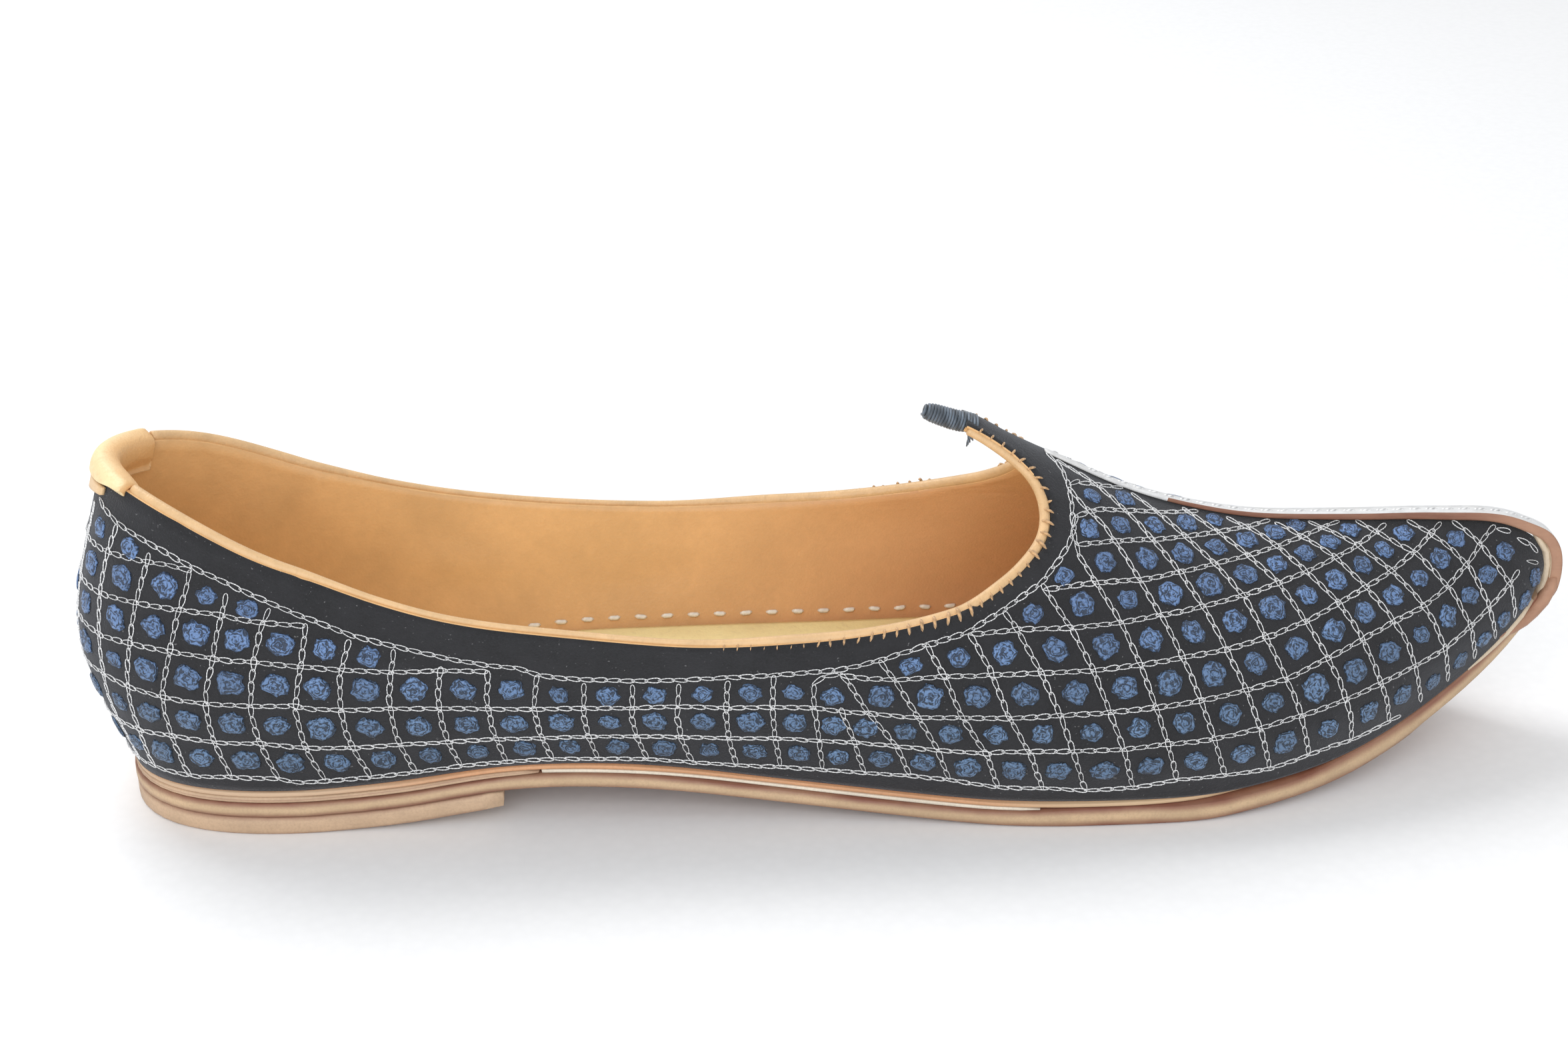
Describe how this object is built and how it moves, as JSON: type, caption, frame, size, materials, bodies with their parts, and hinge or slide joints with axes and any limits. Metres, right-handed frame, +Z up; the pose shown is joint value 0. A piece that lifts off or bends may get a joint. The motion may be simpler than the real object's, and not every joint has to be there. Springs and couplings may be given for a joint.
{
  "type": "jutti shoe",
  "caption": "Leather slip-on shoe with a hollow embroidered suede upper, a low open collar, a throat that curls back to a point, an upturned toe and a layered leather sole.",
  "frame": {"origin": "middle of the shoe's length and width, on the floor that it stands on", "axes": "+X towards the toe, +Y to the wearer's left, +Z up"},
  "size_m": [0.2938, 0.0718, 0.0746],
  "materials": {
    "suede": "black suede outside, smooth tan lining inside",
    "binding": "rolled tan leather",
    "pad": "pale tan leather",
    "silver_strip": "silver-faced leather with brown edges",
    "navy_thread": "wound thread",
    "insole": "pale smooth leather",
    "tan_strip": "cut leather edge",
    "white_rand": "raw white leather edge",
    "outsole": "burnished sole leather",
    "heel_lift": "raw sole leather"
  },
  "bodies": {
    "root": {"upper": "suede", "collar_binding_left": "binding", "collar_binding_right": "binding", "heel_pad": "pad", "heel_tab": "binding", "toe_strip": "silver_strip", "throat_wrap": "navy_thread", "insole": "insole", "midsole": "tan_strip", "rand": "white_rand", "heel_wedge": "tan_strip", "outsole": "outsole", "heel_lift": "heel_lift"}
  },
  "joints": []
}
